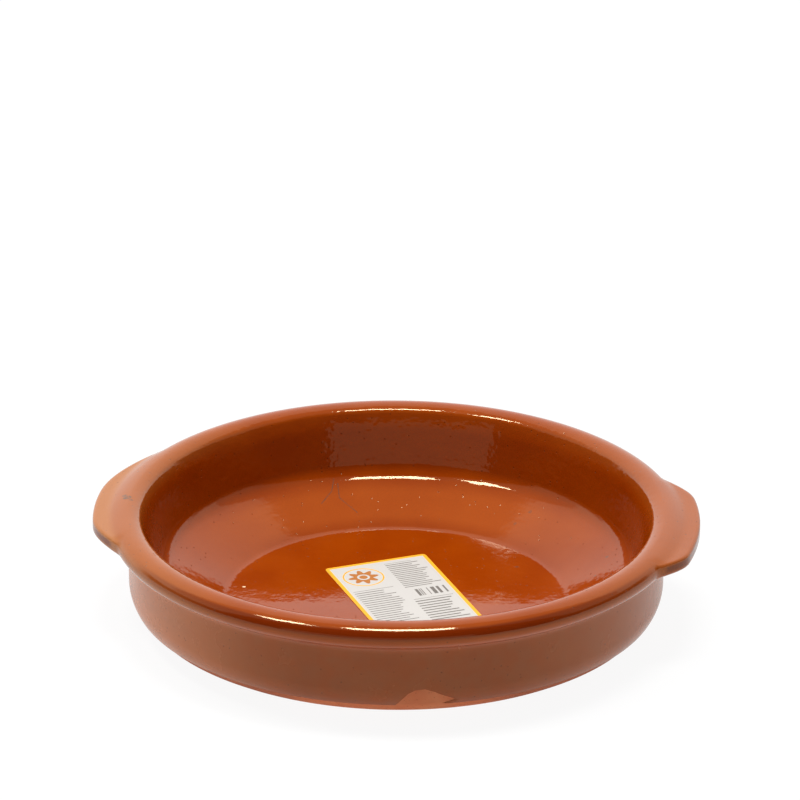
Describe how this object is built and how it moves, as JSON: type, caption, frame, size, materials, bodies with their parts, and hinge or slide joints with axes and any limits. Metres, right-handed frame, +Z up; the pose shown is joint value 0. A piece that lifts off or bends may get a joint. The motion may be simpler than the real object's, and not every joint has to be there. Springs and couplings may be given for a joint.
{
  "type": "glazed clay cazuela",
  "caption": "Wide shallow earthenware cooking dish with a rolled rim, flat side lugs, a stepped floor and a glossy brown glaze coat",
  "frame": {"origin": "centre of the flat base, on the ground", "axes": "+X points at the right lug, +Y at the back of the dish as pictured, +Z up out of the dish"},
  "size_m": [0.2972, 0.2798, 0.0568],
  "materials": {
    "fired_clay": "bare fired earthenware, matt and slightly gritty",
    "brown_glaze": "glossy honey-brown glaze with fine pinholes",
    "label_glue": "thin clear pressure-sensitive glue",
    "label_paper": "semi-gloss white paper with a printed ochre border"
  },
  "bodies": {
    "root": {"clay_bowl": "fired_clay", "left_lug_handle": "fired_clay", "right_lug_handle": "fired_clay", "glaze_coat": "brown_glaze", "label_adhesive": "label_glue", "paper_label": "label_paper"}
  },
  "joints": []
}
